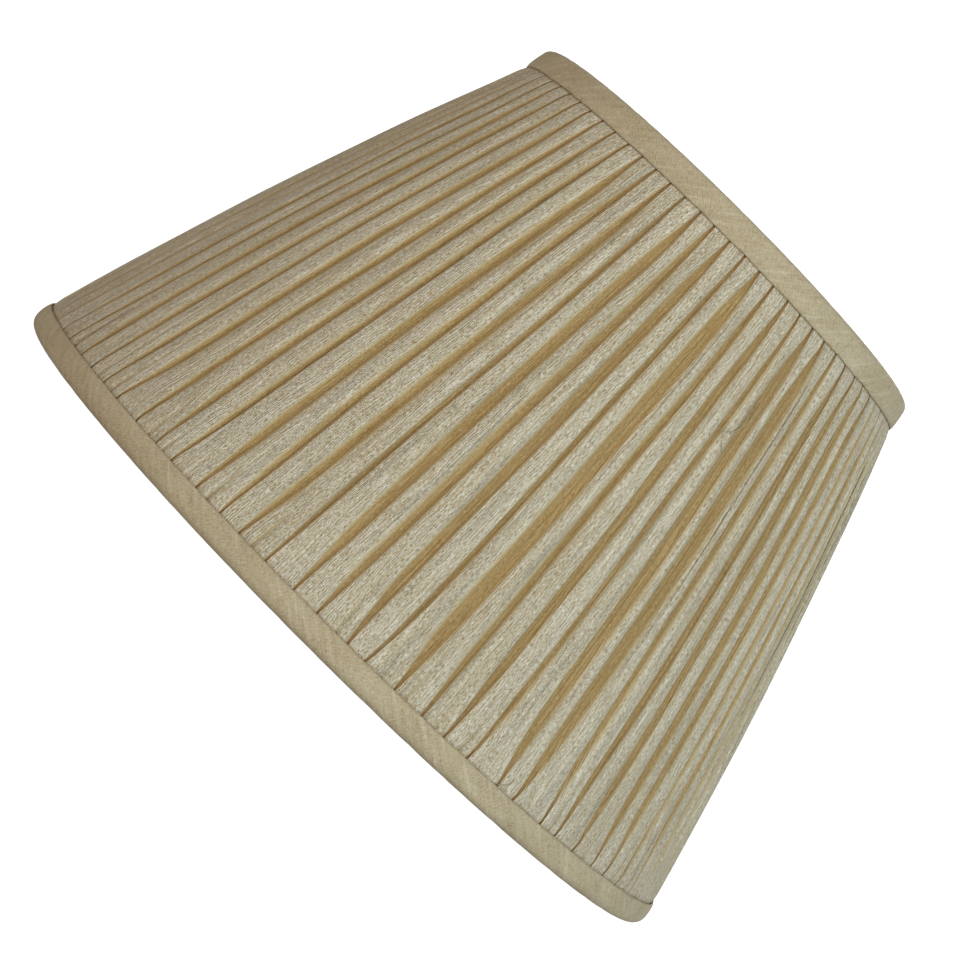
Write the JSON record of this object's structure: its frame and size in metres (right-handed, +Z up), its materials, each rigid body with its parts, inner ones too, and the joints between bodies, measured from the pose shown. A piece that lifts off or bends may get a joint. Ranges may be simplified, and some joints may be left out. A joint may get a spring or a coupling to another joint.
{
  "type": "lamp shade",
  "caption": "Tapered round lamp shade in close upright pleats of slubby fabric with bias-bound top and bottom edges, a cloth lining, a wire frame and a tilting gimbal fitter.",
  "frame": {"origin": "centre of the circle on which the bottom binding stands", "axes": "+Z up through the top opening; X along the gimbal's pivot axis, through both rivets"},
  "size_m": [0.304, 0.304, 0.197],
  "materials": {
    "pleated_cloth": "pale slubby grey-cream pleats with golden tan in the folds",
    "binding_cloth": "plain weave cut on the bias, pale tan",
    "lining_cloth": "smooth cream lining",
    "cotton_tape": "unbleached cotton tape",
    "painted_wire": "off-white painted steel",
    "plated_steel": "plated steel rivet"
  },
  "bodies": {
    "shade": {"strut_1": "painted_wire", "strut_2": "painted_wire", "strut_3": "painted_wire", "strut_4": "painted_wire", "strut_5": "painted_wire", "strut_6": "painted_wire", "bottom_ring": "painted_wire", "top_ring": "painted_wire", "bottom_ring_tape": "cotton_tape", "top_ring_tape": "cotton_tape", "gimbal_arm_right": "painted_wire", "gimbal_arm_left": "painted_wire", "lining_left": "lining_cloth", "lining_right": "lining_cloth", "neatener_right": "lining_cloth", "neatener_left": "lining_cloth", "pleated_panel_1": "pleated_cloth", "pleated_panel_2": "pleated_cloth", "bottom_binding": "binding_cloth", "top_binding": "binding_cloth"},
    "fitter": {"fitter_ring": "painted_wire", "pivot_rivet_right": "plated_steel", "pivot_rivet_left": "plated_steel"}
  },
  "joints": [
    {"name": "fitter_tilt", "type": "hinge", "parent": "shade", "child": "fitter", "pos_m": [0, 0, 0.165], "axis": [1, 0, 0], "range_deg": [-90, 90]}
  ]
}
